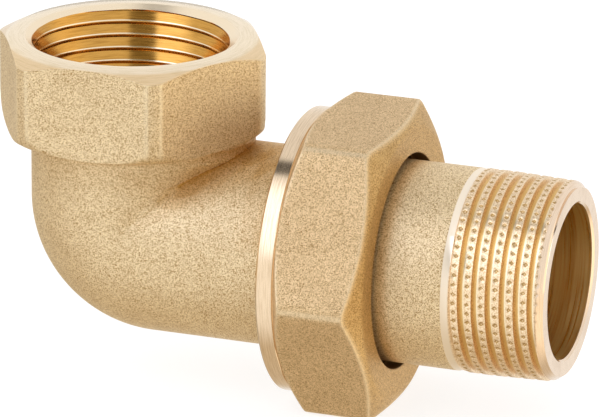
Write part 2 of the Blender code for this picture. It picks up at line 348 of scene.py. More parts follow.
def bend_field(x, y, z, radius, blend):
    """Negative inside a round elbow whose axes cross at 0, about zero on its surface."""
    upright = np.hypot(x, y) - radius
    level = np.hypot(z, y) - radius
    from_axis = np.hypot(x - BEND_RADIUS, z - BEND_RADIUS)
    bend = np.hypot(from_axis - BEND_RADIUS, y) - radius
    into_corner = np.clip(np.minimum(x, z) - BEND_RADIUS, 0, 3 * MM) / (3 * MM)
    corner = soft_min(upright, level, blend * into_corner)
    field = np.where((x < BEND_RADIUS) & (z < BEND_RADIUS), bend, corner)
    field = np.where((x < BEND_RADIUS) & (z >= BEND_RADIUS), upright, field)
    return np.where((x >= BEND_RADIUS) & (z < BEND_RADIUS), level, field)


def bend_rings(radius, pivot, blend, fans):
    """Rings round the bend as points [column, ring, xyz], fanned about a pivot line.

    Each point lies where a ray from the ring's centre leaves bend_field, found by halving.
    """
    fan = np.linspace(0, math.pi / 2, fans)
    inward = np.stack([-np.cos(fan), np.zeros(fans), -np.sin(fan)], -1)
    reach = pivot + 0.28 * pivot * np.sin(2 * fan) ** 2
    centre = np.array([pivot, 0, pivot]) + inward * reach[:, None]
    angle = np.linspace(0, math.tau, COLUMNS + 1)[:, None, None]
    side = np.array([0.0, 1.0, 0.0])
    ray = np.cos(angle) * inward[None] + np.sin(angle) * side
    near = np.zeros((COLUMNS + 1, fans))
    far = np.full((COLUMNS + 1, fans), 2.2 * radius)
    for _ in range(40):
        middle = (near + far) / 2
        point = centre[None] + ray * middle[..., None]
        inside = bend_field(point[..., 0], point[..., 1], point[..., 2], radius, blend) < 0
        near = np.where(inside, middle, near)
        far = np.where(inside, far, middle)
    return centre[None] + ray * near[..., None]


def lid(rings):
    """The first ring gathered into one point on the port's axis, which closes that end."""
    point = rings[:, :1].copy()
    point[..., 0:2] *= 0
    return point


def parting_ridge(points):
    """Push points out a little where the two forging dies met, in the plane of both axes."""
    rise, half_width = 0.09 * MM, 0.45 * MM
    ridge = rise * np.exp(-(points[..., 1] / half_width) ** 2)
    scale = 1 + ridge / np.maximum(np.hypot(points[..., 0], points[..., 2]), 5 * MM)
    moved = points.copy()
    moved[..., 0] *= scale
    moved[..., 2] *= scale
    return moved


def tube_solid():
    """The elbow without its bore, with the union thread and the flat seat."""
    pivot = 18.4 * MM
    rings = bend_rings(TUBE_RADIUS, pivot, 1.2 * MM, 150)
    rings = parting_ridge(rings)
    rings[..., 2] += AXIS_Z
    start = UNION_THREAD_START
    level = around_x(fixed(COLUMNS, line((TUBE_RADIUS, pivot + 0.4 * MM), (TUBE_RADIUS, start), 30)))
    height, phase = helix_rows(COLUMNS, start, SEAT - start, start)
    radius = UNION_MAJOR - THREAD_DEPTH * (1 - thread_share(phase, UNION_FLAT, UNION_FLAT))
    to_end = np.minimum(height - start, SEAT - height)
    radius = np.minimum(radius, UNION_MAJOR - np.maximum(0.9 * MM - to_end, 0))
    thread = around_x(np.stack([radius, height], -1))
    end = around_x(fixed(COLUMNS, [(SEAT_HOLE_RADIUS, SEAT), (0, SEAT)]))
    points = np.concatenate([lid(rings), rings, level, thread, end], 1)
    return grid_object("tube", points, False)


def female_void():
    """What the tap and the countersink take out of the socket.

    The thread is a saw-tooth: wide faces that look up, and short ones that look down.
    """
    height, phase = helix_rows(COLUMNS, -FEMALE_DEPTH, FEMALE_DEPTH, -FEMALE_DEPTH)
    share = np.interp(phase % 1, [0, 0.05, 0.74, 0.80, 0.97, 1], [0, 0, 1, 1, 0, 0])
    radius = PORT_MAJOR - TAPPED_DEPTH * (1 - share)
    radius = np.maximum(radius, COUNTERSINK_RADIUS + height * COUNTERSINK_SLOPE)
    thread = np.stack([radius, height], -1)
    low = -FEMALE_DEPTH - 0.5 * MM
    floor = fixed(COLUMNS, [(0, low), (13.2 * MM, low), (14.8 * MM, -FEMALE_DEPTH)])
    over = 1.0 * MM
    top = fixed(COLUMNS, [(COUNTERSINK_RADIUS + 0.15 * MM, 0.06 * MM),
                          (COUNTERSINK_RADIUS + over, over), (0, over)])
    profile = np.concatenate([floor, thread, top], 1)
    return grid_object("female_void", around_z(profile), False, TAPPED)


def waterway_void():
    """The bore through the elbow."""
    pivot = 17.9 * MM
    rings = bend_rings(BORE_RADIUS, pivot, 0.8 * MM, 110)
    rings[..., 2] += AXIS_Z
    over = 1.0 * MM
    out = around_x(fixed(COLUMNS, [(BORE_RADIUS, SEAT - 0.5 * MM),
                                   (BORE_RADIUS + 1.5 * MM, SEAT + over), (0, SEAT + over)]))
    points = np.concatenate([lid(rings), rings, out], 1)
    return grid_object("waterway", points, False, BORED)


def dome_rays(count):
    """Directions spread evenly over the half sphere round +Z."""
    golden = math.pi * (3 - math.sqrt(5))
    rays = []
    for index in range(count):
        height = 1 - (index + 0.5) / count
        ring = math.sqrt(1 - height * height)
        rays.append(Vector((ring * math.cos(golden * index), ring * math.sin(golden * index), height)))
    return rays


def mark_hollow_shade(made, reach, low, high):
    """Store, for each vertex, how much painted shade it gets: the share of what it faces that is metal
    within reach.

    Only vertices between the heights low and high are looked at, without those in the
    socket's bore behind its axis. Faces that look down count for little.
    """
    mesh = made.data
    surface = BVHTree.FromPolygons([v.co for v in mesh.vertices], [p.vertices for p in mesh.polygons])
    rays = dome_rays(HOLLOW_RAYS)
    values = np.zeros(len(mesh.vertices))
    for vertex in mesh.vertices:
        spot, normal = vertex.co, vertex.normal
        in_bore = spot.x < 0 and math.hypot(spot.x, spot.y) < TUBE_RADIUS - 0.5 * MM
        if in_bore or not low < spot.z < high:
            continue
        start = spot + normal * 0.05 * MM
        turn = normal.to_track_quat("Z", "Y")
        hits = sum(surface.ray_cast(start, turn @ ray, reach)[0] is not None for ray in rays)
        values[vertex.index] = hits / HOLLOW_RAYS * min(max(0.6 + 1.2 * normal.z, 0), 1)
    store(made, "hollow_shade", values)


def mark_socket_corners(made):
    """Store, for each vertex, how near it is to the borders of the socket's corners, brightened by
    wear and by painted highlight.
    """
    x, y, z = vertex_places(made)
    from_corner = angle_from_corner(np.arctan2(y, x))
    centre = SOCKET_CORNER_REACH - SOCKET_CORNER_BEND
    inset = SOCKET_FLATS / 2 - centre * math.cos(math.pi / 6)
    along = centre / 2 + math.sqrt(SOCKET_CORNER_BEND ** 2 - inset ** 2)
    border = math.pi / 6 - math.atan(along / (SOCKET_FLATS / 2))
    radius = np.hypot(x, y)
    worn_highlight = 0.7 * np.exp(-((from_corner - border) * radius / (0.24 * MM)) ** 2)
    on_wall = (radius > SOCKET_FLATS / 2) & (z > SOCKET_BOTTOM + 1.5 * MM)
    store(made, "worn_highlight", worn_highlight * on_wall)


def make_body(materials):
    """Forged body of one piece; the cutters carry the inside's materials."""
    body = socket_solid()
    for material in materials:
        body.data.materials.append(material)
    combine(body, tube_solid(), "UNION")
    combine(body, female_void(), "DIFFERENCE")
    combine(body, waterway_void(), "DIFFERENCE")
    body.name = "forged_elbow_body"
    # Amounts of painted shade in the hollows and of brightened corner borders
    mark_hollow_shade(body, reach=9 * MM, low=AXIS_Z + 4 * MM, high=SOCKET_BOTTOM + 0.3 * MM)
    mark_socket_corners(body)
    shade(body)
    return body


# ---------------------------------------------------------------- union nut

def nut_hexagon(angle):
    """Radius of the nut's hexagon at an angle about the tail's axis."""
    from_corner = angle + math.radians(30) - NUT_TURN
    return hexagon_radius(from_corner, NUT_FLATS, NUT_CORNER_REACH, NUT_CORNER_BEND)


def nut_edges(hexagon):
    """X of the edges where the nut's back and front cones meet its hexagon."""
    back = BAND_END + (hexagon - NUT_FLATS / 2 - BAND_STEP) / NUT_BACK_SLOPE
    front = NUT_FRONT - (hexagon - NUT_FACE_RADIUS) / NUT_FRONT_SLOPE
    return np.maximum(back, BAND_END), front


def nut_outside():
    """Rows of the nut's outside: turned band, back cone, hexagon and front cone."""
    flat = NUT_FLATS / 2
    ease = 0.3 * MM
    ledge = BAND_END - 0.05 * MM
    band = fixed(COLUMNS, [(flat - ease, NUT_BACK)]
                 + line((flat, NUT_BACK + ease), (flat, ledge - ease), 8)
                 + [(flat, ledge - ease), (flat - ease, ledge)])
    hexagon = nut_hexagon(np.linspace(0, math.tau, COLUMNS + 1)[:, None])
    back, front = nut_edges(hexagon)
    # Rows lie close together near both edges, which are rounded
    near = MM * np.array([[-1.2, -0.7, -0.4, -0.2, -0.08, 0, 0.08, 0.2, 0.4, 0.7]])
    x = np.concatenate([
        BAND_END + 0 * back,
        back + near,
        rows_between(back + MM, front - 1.3 * MM, 6),
        front + near,
        rows_between(front + MM, NUT_FRONT, 4)], 1)
    x = np.maximum.accumulate(np.clip(x, BAND_END, NUT_FRONT), 1)
    front_cone = NUT_FACE_RADIUS + (NUT_FRONT - x) * NUT_FRONT_SLOPE
    back_cone = flat + BAND_STEP + (x - BAND_END) * NUT_BACK_SLOPE
    radius = soft_min(soft_min(hexagon, front_cone, 0.4 * MM), back_cone, 0.12 * MM)
    return np.concatenate([band, np.stack([radius, x], -1)], 1)


def nut_inside():
    """Rows of the nut's front face, hole, shoulder, relief and thread."""
    thread_end = NUT_RELIEF_START + 1.0 * MM
    ease, corner = 0.15 * MM, 0.2 * MM
    front = fixed(COLUMNS, [
        (NUT_FACE_RADIUS, NUT_FRONT), (NUT_FACE_RADIUS - 1.2 * MM, NUT_FRONT),
        (NUT_HOLE_RADIUS + 1.0 * MM, NUT_FRONT), (NUT_HOLE_RADIUS + ease, NUT_FRONT),
        (NUT_HOLE_RADIUS, NUT_FRONT - ease), (NUT_HOLE_RADIUS, NUT_SHOULDER),
        (NUT_RELIEF_RADIUS - corner, NUT_SHOULDER), (NUT_RELIEF_RADIUS, NUT_SHOULDER - corner),
        (NUT_RELIEF_RADIUS, thread_end)])
    start = NUT_BACK + 0.02 * MM
    x, phase = helix_rows(COLUMNS, start, thread_end - start - 0.02 * MM, UNION_THREAD_START)
    major = UNION_MAJOR + THREAD_CLEARANCE
    radius = major - THREAD_DEPTH * (1 - thread_share(phase, UNION_FLAT, UNION_FLAT))
    mouth = major + 0.2 * MM - (x - NUT_BACK)
    radius = np.maximum(np.maximum(radius, mouth), NUT_RELIEF_RADIUS)
    return np.concatenate([front, np.stack([radius, x], -1)[:, ::-1]], 1)


def mark_worn_highlight_edges(nut):
    """Store, for each vertex, how far it is on an edge brightened by wear from handling and by painted
    highlight.
    """
    x, y, z = vertex_places(nut)
    radius = np.hypot(y, z - AXIS_Z)
    angle = np.arctan2(y, AXIS_Z - z)
    back, front = nut_edges(nut_hexagon(angle))
    from_corner = angle_from_corner(angle + math.radians(30) - NUT_TURN) * radius
    worn_highlight = 0.50 * np.exp(-((x - front) / (0.24 * MM)) ** 2)
    worn_highlight = np.maximum(worn_highlight, 0.45 * np.exp(-((x - back) / (0.30 * MM)) ** 2))
    along = (x > back) & (x < front)
    worn_highlight = np.maximum(worn_highlight, 0.45 * np.exp(-(from_corner / (0.45 * MM)) ** 2) * along)
    on_hexagon = (radius > NUT_FACE_RADIUS) & (x > BAND_END + 0.3 * MM)
    store(nut, "worn_highlight", np.where(on_hexagon, worn_highlight, 0))


def make_nut():
    """Union nut: turned band, hexagon between two cones, hole, shoulder and thread."""
    profile = np.concatenate([nut_outside(), nut_inside()], 1)
    nut = grid_object("hexagon_union_nut", around_x(profile), True)
    mark_worn_highlight_edges(nut)
    shade(nut)
    return nut


# ---------------------------------------------------------------- tail and washer

def tail_inner_end(thread_start):
    """Rows from the tail's inner end over the collar and along the neck to the pale band."""
    ease, corner = 0.3 * MM, 0.2 * MM
    return fixed(TAIL_COLUMNS, [
        (BORE_RADIUS + ease, TAIL_START), (COLLAR_RADIUS - ease, TAIL_START),
        (COLLAR_RADIUS, TAIL_START + ease), (COLLAR_RADIUS, COLLAR_END - corner),
        (COLLAR_RADIUS - corner, COLLAR_END), (NECK_RADIUS + 0.6 * MM, COLLAR_END),
        (NECK_RADIUS + 0.2 * MM, COLLAR_END + 0.2 * MM), (NECK_RADIUS, COLLAR_END + 0.6 * MM)]
        + line((NECK_RADIUS, COLLAR_END + 1.0 * MM), (NECK_RADIUS, thread_start - 1.25 * MM), 24)
        + [(NECK_RADIUS, thread_start - 1.2 * MM),
           (NECK_RADIUS - 0.05 * MM, thread_start - 1.12 * MM),
           (NECK_RADIUS - 0.28 * MM, thread_start - 0.1 * MM)])


def dents(phase, angle):
    """Depth of the dents that a gripping tool leaves along the thread's crests."""
    within = phase % 1
    uneven = 0.5 * np.sin(17 * angle + 2.1 * within) + 0.5 * np.sin(29 * angle - 4.3 * within)
    notch = np.exp(-((within - DENT_PHASE - 0.03 * uneven) / 0.13) ** 2)
    notch = notch * np.exp(-(np.sin(angle * SERRATIONS / 2) / (0.5 + 0.12 * uneven)) ** 2)
    return (0.22 + 0.06 * uneven) * MM * notch


def tail_thread(thread_start, end_radius):
    """Rows of the taper thread, from its shallow first turn to the end chamfer."""
    length = TAIL_END - thread_start
    origin = TAIL_END - PORT_THREAD_ORIGIN
    height, phase = helix_rows(TAIL_COLUMNS, thread_start, length, origin)
    angle = np.linspace(0, math.tau, TAIL_COLUMNS + 1)[:, None]
    share = thread_share(phase, 0.25, 0.07)
    crest = PORT_MAJOR + (TAIL_END - GAUGE_LENGTH - height) * TAPER
    fade = np.clip((height - thread_start) / (0.9 * PITCH), 0, 1)
    depth = THREAD_DEPTH * (0.25 + 0.75 * fade)
    blank = np.minimum(crest, NECK_RADIUS + 0.05 * MM)
    radius = blank - depth * (1 - share)
    radius = radius - dents(phase, angle) * (share > 0.5)
    to_end = TAIL_END - height
    chamfer = crest - np.maximum(END_CHAMFER - to_end, 0) * END_CHAMFER_SLOPE
    runout = end_radius - 0.1 * MM - 0.8 * np.maximum(to_end - 0.2 * MM, 0)
    radius = np.maximum(np.minimum(radius, chamfer), runout)
    return np.stack([radius, height], -1)


def tail_bore(end_radius):
    """Rows of the tail's end ring and bore."""
    eased = BORE_RADIUS + BORE_EASE
    return fixed(
        TAIL_COLUMNS, [(end_radius - 0.15 * MM, TAIL_END)]
        + line((end_radius - 0.5 * MM, TAIL_END), (eased, TAIL_END), 4)
        + [(eased, TAIL_END), (BORE_RADIUS, TAIL_END - BORE_EASE)]
        + line((BORE_RADIUS, TAIL_END - 1.0 * MM), (BORE_RADIUS, TAIL_START + 0.5 * MM), 20)
        + [(BORE_RADIUS, TAIL_START + 0.3 * MM)])


def make_tail():
    """Tail: collar, blasted neck, dented taper thread, turned end and bore."""
    thread_start = TAIL_END - PORT_THREAD_LENGTH
    end_radius = PORT_MAJOR - GAUGE_LENGTH * TAPER - END_CHAMFER * END_CHAMFER_SLOPE
    profile = np.concatenate([
        tail_inner_end(thread_start),
        tail_thread(thread_start, end_radius),
        tail_bore(end_radius)], 1)
    tail = grid_object("serrated_tail", around_x(profile), True)
    shade(tail, 40)
    return tail


def make_washer():
    """Flat washer with slightly eased edges."""
    ease = 0.15 * MM
    outer = washer_high.z - AXIS_Z
    hole = WASHER_HOLE_RADIUS
    start, end = washer_low.x, washer_high.x
    profile = fixed(128, [
        (outer - ease, start), (outer, start + ease), (outer, end - ease), (outer - ease, end),
        (hole + ease, end), (hole, end - ease), (hole, start + ease), (hole + ease, start)])
    washer = grid_object("flat_seal", around_x(profile), True)
    shade(washer)
    return washer


# ---------------------------------------------------------------- materials

BUMP_HEIGHT = 0.06 * MM
TOOL_SPACING = 0.16 * MM

# Tones of the blasted skin, the turned metal, the threads and the bores
BODY_LIGHT = (1.0, 0.83, 0.545, 1)
BODY_DARK = (0.40, 0.21, 0.045, 1)
# Brightened edges: wear and painted highlight
BODY_WORN_HIGHLIGHT = (1.0, 0.86, 0.60, 1)
# Tint of the painted shade in hollows and on the neck beside the nut
HOLLOW_SHADE = (0.70, 0.48, 0.19, 1)
NUT_LIGHT = (0.85, 0.63, 0.36, 1)
NUT_DARK = (0.31, 0.17, 0.05, 1)
NUT_WORN_HIGHLIGHT = (1.0, 0.84, 0.58, 1)
BAND = (0.84, 0.66, 0.46, 1)
BAND_DARK = (0.70, 0.53, 0.35, 1)
# Tint of the painted shade on the nut's front cone and face
RECESS_SHADE = (0.88, 0.80, 0.60, 1)
CONE = (0.90, 0.81, 0.67, 1)
# Painted shade for what lies inside the nut
SHADE_INSIDE_NUT = (0.30, 0.19, 0.08, 1)
TURNED = (0.93, 0.78, 0.57, 1)
TURNED_DARK = (0.84, 0.69, 0.47, 1)
AMBER = (0.95, 0.82, 0.58, 1)
CREST = (1.0, 0.80, 0.56, 1)
CREST_DARK = (0.72, 0.52, 0.30, 1)
END_FACE = (0.88, 0.70, 0.53, 1)
END_DARK = (0.80, 0.61, 0.44, 1)
START_BAND = (0.98, 0.86, 0.70, 1)
DENT_BROWN = (0.48, 0.29, 0.10, 1)
TAPPED_LIGHT = (0.66, 0.35, 0.08, 1)
TAPPED_DARK = (0.50, 0.25, 0.05, 1)
BORE_BROWN = (1.0, 0.80, 0.42, 1)
BORE_DARK = (0.92, 0.62, 0.24, 1)
RUBBER_DARK = (0.012, 0.012, 0.013, 1)
RUBBER_LIGHT = (0.03, 0.03, 0.032, 1)


def node(tree, kind, inputs=None, **settings):
    """Add a shader node; inputs are values or the sockets to link from."""
    made = tree.nodes.new("ShaderNode" + kind)
    for name, value in settings.items():
        setattr(made, name, value)
    for name, value in (inputs or {}).items():
        if isinstance(value, bpy.types.NodeSocket):
            tree.links.new(value, made.inputs[name])
        else:
            made.inputs[name].default_value = value
    return made


def maths(tree, operation, first, second=0.0, third=0.0):
    """Output of a Math node."""
    inputs = {0: first, 1: second, 2: third}
    return node(tree, "Math", inputs, operation=operation).outputs[0]


def times(tree, first, second):
    """Product of two numbers."""
    return maths(tree, "MULTIPLY", first, second)


def minus(tree, first, second):
    """Difference of two numbers."""
    return maths(tree, "SUBTRACT", first, second)


def larger(tree, first, second):
    """The larger of two numbers."""
    return maths(tree, "MAXIMUM", first, second)


def distance(tree, value, middle):
    """How far a value is from a middle one."""
    return maths(tree, "ABSOLUTE", minus(tree, value, middle))


def step(tree, value, low, high, start=0.0, end=1.0):
    """Smooth step from start to end while the value goes from low to high."""
    made = node(tree, "MapRange", {"Value": value, "From Min": low, "From Max": high,
                                   "To Min": start, "To Max": end}, interpolation_type="SMOOTHSTEP")
    return made.outputs[0]


def noise(tree, vector, scale, detail=2.0, roughness=0.5):
    """Output of a noise texture, about 0.5 on average."""
    made = node(tree, "TexNoise", {"Vector": vector, "Scale": scale, "Detail": detail,
                                   "Roughness": roughness})
    return made.outputs[0]


def cells(tree, vector, scale):
    """Random value for each cell of a Voronoi texture."""
    made = node(tree, "TexVoronoi", {"Vector": vector, "Scale": scale})
    return node(tree, "SeparateXYZ", {0: made.outputs["Color"]}).outputs[0]


def mix(tree, factor, first, second):
    """Mix of two colours."""
    return node(tree, "Mix", {0: factor, 6: first, 7: second}, data_type="RGBA").outputs[2]


def tinted(tree, factor, colour, tint):
    """Colour multiplied by a tint, as far as the factor says."""
    inputs = {0: factor, 6: colour, 7: tint}
    return node(tree, "Mix", inputs, data_type="RGBA", blend_type="MULTIPLY").outputs[2]


def blend(tree, factor, first, second):
    """Mix of two numbers."""
    return node(tree, "Mix", {0: factor, 2: first, 3: second}, data_type="FLOAT").outputs[0]


def attribute(tree, name):
    """Number that was stored for each vertex under this name."""
    return node(tree, "Attribute", attribute_name=name).outputs["Fac"]


def new_material(name):
    """Material with an object-space position, split into X, Y and Z."""
    material = bpy.data.materials.new(name)
    material.use_nodes = True
    tree = material.node_tree
    position = node(tree, "TexCoord").outputs["Object"]
    parts = node(tree, "SeparateXYZ", {0: position}).outputs
    return material, tree, position, parts[0], parts[1], parts[2]


def hypot(tree, first, second):
    """Square root of the sum of two squares."""
    squares = maths(tree, "MULTIPLY_ADD", second, second, times(tree, first, first))
    return maths(tree, "SQRT", squares)


def tool_lines(tree, along, across, third, spacing, breaks=260.0):
    """Fine lines that a turning tool leaves: quick change along, slow change across."""
    vector = node(tree, "CombineXYZ", {
        0: maths(tree, "DIVIDE", along, spacing),
        1: times(tree, across, breaks),
        2: times(tree, third, breaks)}).outputs[0]
    return noise(tree, vector, 1.0, 3.0, 0.6)


def finish_brass(material, tree, colour, roughness, height):
    """Link colour, roughness and bump height into the metal shader."""
    shader = tree.nodes["Principled BSDF"]
    shader.inputs["Metallic"].default_value = 1.0
    bump = node(tree, "Bump", {"Height": height, "Strength": 1.0, "Distance": BUMP_HEIGHT})
    tree.links.new(colour, shader.inputs["Base Color"])
    tree.links.new(roughness, shader.inputs["Roughness"])
    tree.links.new(bump.outputs[0], shader.inputs["Normal"])
    return material


def blasted(tree, position, light_tone, dark_tone):
    """Colour, roughness and height of the shot-blasted skin: fine sparkle on soft mottling."""
    speck = cells(tree, position, 9500.0)
    grain = cells(tree, position, 7000.0)
    mottle = noise(tree, position, 120.0, 3.0, 0.6)
    light = step(tree, blend(tree, 0.25, speck, grain), 0.05, 0.64)
    light = times(tree, light, step(tree, mottle, 0.25, 0.7, 0.88, 1.0))
    colour = mix(tree, light, dark_tone, light_tone)
    rough = blend(tree, speck, 0.54, 0.40)
    return colour, rough, maths(tree, "ADD", times(tree, speck, 0.5), grain)


def turned(tree, lines, light_tone, dark_tone):
    """Colour, roughness and height of a surface cut on the lathe."""
    colour = mix(tree, step(tree, lines, 0.3, 0.6), dark_tone, light_tone)
    rough = step(tree, lines, 0.3, 0.7, 0.10, 0.18)
    return colour, rough, times(tree, lines, 0.10)


def layered(tree, mask, below, above):
    """Mix two sets of colour, roughness and height."""
    return (mix(tree, mask, below[0], above[0]), blend(tree, mask, below[1], above[1]),
            blend(tree, mask, below[2], above[2]))


def body_brass():
    """Blasted forging with painted shade in its hollows and corner borders brightened by wear and
    painted highlight, with a turned face, chamfer and union end.
    """
    material, tree, position, x, y, z = new_material("forged_brass")
    radius = hypot(tree, x, y)
    to_cone = maths(tree, "ADD", radius, maths(tree, "DIVIDE", z, CHAMFER_SLOPE))
    on_cone = step(tree, to_cone, SOCKET_FACE_RADIUS - 0.14 * MM, SOCKET_FACE_RADIUS - 0.03 * MM)
    on_face = step(tree, z, -0.08 * MM, -0.04 * MM)
    on_union = step(tree, x, UNION_THREAD_START - 0.1 * MM, UNION_THREAD_START)
    below_face = step(tree, z, -0.5 * MM, -0.2 * MM, 1.0, 0.0)
    cut = larger(tree, larger(tree, on_cone, on_face), on_union)

    skin, skin_rough, skin_height = blasted(tree, position, BODY_LIGHT, BODY_DARK)
    # Painted shade: darker and warmer where nearby metal faces the surface
    skin = tinted(tree, step(tree, attribute(tree, "hollow_shade"), 0.05, 0.55), skin, HOLLOW_SHADE)
    # Corner borders brightened by wear and by painted highlight
    skin = mix(tree, attribute(tree, "worn_highlight"), skin, BODY_WORN_HIGHLIGHT)
    lines = tool_lines(tree, radius, x, y, 0.25 * MM)
    metal = turned(tree, lines, TURNED, TURNED_DARK)
    colour, rough, height = layered(tree, cut, (skin, skin_rough, skin_height), metal)
    colour = tinted(tree, times(tree, on_cone, below_face), colour, CONE)
    return finish_brass(material, tree, colour, rough, height)


def nut_brass():
    """Blasted hexagon with a turned band, hole and thread; painted shade on the front cone and face
    and inside the nut, edges brightened by wear and painted highlight.
    """
    material, tree, position, x, y, z = new_material("nut_brass")
    radius = hypot(tree, y, minus(tree, z, AXIS_Z))
    on_band = step(tree, x, BAND_END - 0.02 * MM, BAND_END + 0.02 * MM, 1.0, 0.0)
    inside = step(tree, radius, NUT_HOLE_RADIUS + 0.02 * MM, NUT_HOLE_RADIUS + 0.06 * MM, 1.0, 0.0)
    cone = NUT_FACE_RADIUS + NUT_FRONT * NUT_FRONT_SLOPE
    to_cone = maths(tree, "MULTIPLY_ADD", x, NUT_FRONT_SLOPE, radius)
    on_cone = step(tree, to_cone, cone - 0.5 * MM, cone - 0.1 * MM)
    on_face = step(tree, x, NUT_FRONT - 0.1 * MM, NUT_FRONT - 0.05 * MM)

    skin, skin_rough, skin_height = blasted(tree, position, NUT_LIGHT, NUT_DARK)
    # Painted shade, darker and warmer, on the front cone and face
    skin = tinted(tree, larger(tree, on_cone, on_face), skin, RECESS_SHADE)
    # Edges brightened by wear and by painted highlight
    worn_highlight = attribute(tree, "worn_highlight")
    skin = mix(tree, worn_highlight, skin, NUT_WORN_HIGHLIGHT)
    skin_rough = blend(tree, worn_highlight, skin_rough, 0.30)
    metal = turned(tree, tool_lines(tree, x, y, z, TOOL_SPACING), BAND, BAND_DARK)
    cut = larger(tree, on_band, inside)
    colour, rough, height = layered(tree, cut, (skin, skin_rough, skin_height), metal)
    # Painted shade: the hole and thread inside the nut are dark
    colour = mix(tree, inside, colour, SHADE_INSIDE_NUT)
    rough = blend(tree, on_band, rough, 0.15)
    rough = blend(tree, inside, rough, 0.4)
    return finish_brass(material, tree, colour, rough, height)


def dent_mask(tree, position, x, y, up):
    """1 in the dents along the male thread's crests, less in their middles."""
    turn = maths(tree, "ARCTAN2", y, times(tree, up, -1.0))
    around = maths(tree, "FRACT", maths(tree, "MULTIPLY_ADD", turn, SERRATIONS / math.tau, 0.5))
    climb = minus(tree, maths(tree, "DIVIDE", x, PITCH), maths(tree, "DIVIDE", turn, math.tau))
    phase = maths(tree, "FRACT", minus(tree, climb, (TAIL_END - PORT_THREAD_ORIGIN) / PITCH))
    across = maths(tree, "DIVIDE", distance(tree, phase, DENT_PHASE), 0.19)
    along = maths(tree, "DIVIDE", distance(tree, around, 0.5), 0.26)
    size = maths(tree, "ADD", across, along)
    patch = noise(tree, position, 1500.0, 1.0, 0.5)
    size = maths(tree, "MULTIPLY_ADD", minus(tree, patch, 0.5), 1.2, size)
    rim = step(tree, size, 0.75, 1.1, 1.0, 0.0)
    middle = step(tree, size, 0.1, 0.6, 0.45, 1.0)
    return times(tree, rim, middle)


def tail_brass():
    """Blasted neck with painted shade by the nut, turned collar painted dark as shade inside the nut,
    turned start band, amber grooves and pale, dented crests.
    """
    material, tree, position, x, y, z = new_material("tail_brass")
    up = minus(tree, z, AXIS_Z)
    radius = hypot(tree, y, up)
    start = TAIL_END - PORT_THREAD_LENGTH - 1.21 * MM
    beyond_neck = step(tree, x, start, start + 0.04 * MM)
    at_start = step(tree, x, start + 1.2 * MM, start + 1.3 * MM, 1.0, 0.0)
    past_start = step(tree, x, start + 1.0 * MM, start + 1.4 * MM)
    before_end = step(tree, x, TAIL_END - 1.3 * MM, TAIL_END - 1.0 * MM, 1.0, 0.0)
    threaded = times(tree, before_end, past_start)
    above_neck = step(tree, radius, NECK_RADIUS + 0.02 * MM, NECK_RADIUS + 0.06 * MM)
    before_neck = step(tree, x, COLLAR_END + 1.5 * MM, COLLAR_END + 2.0 * MM, 1.0, 0.0)
    on_collar = times(tree, above_neck, before_neck)
    crest = maths(tree, "MULTIPLY_ADD", x, -TAPER, PORT_MAJOR + (TAIL_END - GAUGE_LENGTH) * TAPER)
    depth = minus(tree, crest, radius)
    groove = times(tree, step(tree, depth, 0.42 * THREAD_DEPTH, 0.72 * THREAD_DEPTH), threaded)
    dent = times(tree, dent_mask(tree, position, x, y, up), threaded)

    lines = tool_lines(tree, x, y, z, TOOL_SPACING)
    pale, pale_rough, height = turned(tree, lines, END_FACE, END_DARK)
    sparkle = step(tree, noise(tree, position, 4000.0, 1.0, 0.5), 0.35, 0.65)
    glitter = mix(tree, sparkle, CREST_DARK, CREST)
    tint = mix(tree, threaded, mix(tree, at_start, pale, START_BAND), glitter)
    tint = mix(tree, dent, tint, DENT_BROWN)
    tint = mix(tree, groove, tint, AMBER)
    # Painted shade: the collar inside the nut is dark
    tint = mix(tree, on_collar, tint, SHADE_INSIDE_NUT)
    rough = blend(tree, at_start, pale_rough, 0.38)
    rough = blend(tree, threaded, rough, 0.34)
    rough = blend(tree, groove, rough, 0.28)
    rough = blend(tree, on_collar, rough, 0.4)

    skin, skin_rough, skin_height = blasted(tree, position, BODY_LIGHT, BODY_DARK)
    # Painted shade on the neck just in front of the nut
    painted_nut_shade = step(tree, x, NUT_FRONT + 0.3 * MM, NUT_FRONT + 2.8 * MM, 0.6, 0.0)
    skin = tinted(tree, painted_nut_shade, skin, HOLLOW_SHADE)
    cut = larger(tree, beyond_neck, on_collar)
    colour, rough, height = layered(tree, cut, (skin, skin_rough, skin_height), (tint, rough, height))
    return finish_brass(material, tree, colour, rough, height)


def thread_brass():
    """Glossy amber of the female thread, with painted highlights on its crest edges and a pale
    countersink.
    """
    material, tree, _, x, y, z = new_material("tapped_brass")
    radius = hypot(tree, x, y)
    to_cone = maths(tree, "MULTIPLY_ADD", z, -COUNTERSINK_SLOPE, radius)
    cone = COUNTERSINK_RADIUS
    on_cone = step(tree, to_cone, cone + 0.03 * MM, cone + 0.08 * MM, 1.0, 0.0)
    # Painted highlight along the crest edges of the female thread
    edge = PORT_MAJOR - TAPPED_DEPTH + 0.07 * MM
    edge_highlight = step(tree, distance(tree, radius, edge), 0.02 * MM, 0.06 * MM, 1.0, 0.0)
    lines = tool_lines(tree, z, x, y, 0.2 * MM)
    tapped = mix(tree, step(tree, lines, 0.3, 0.6), TAPPED_DARK, TAPPED_LIGHT)
    colour = mix(tree, larger(tree, on_cone, edge_highlight), tapped, TURNED)
    rough = blend(tree, on_cone, step(tree, lines, 0.3, 0.7, 0.12, 0.20), 0.30)
    return finish_brass(material, tree, colour, rough, times(tree, lines, 0.1))


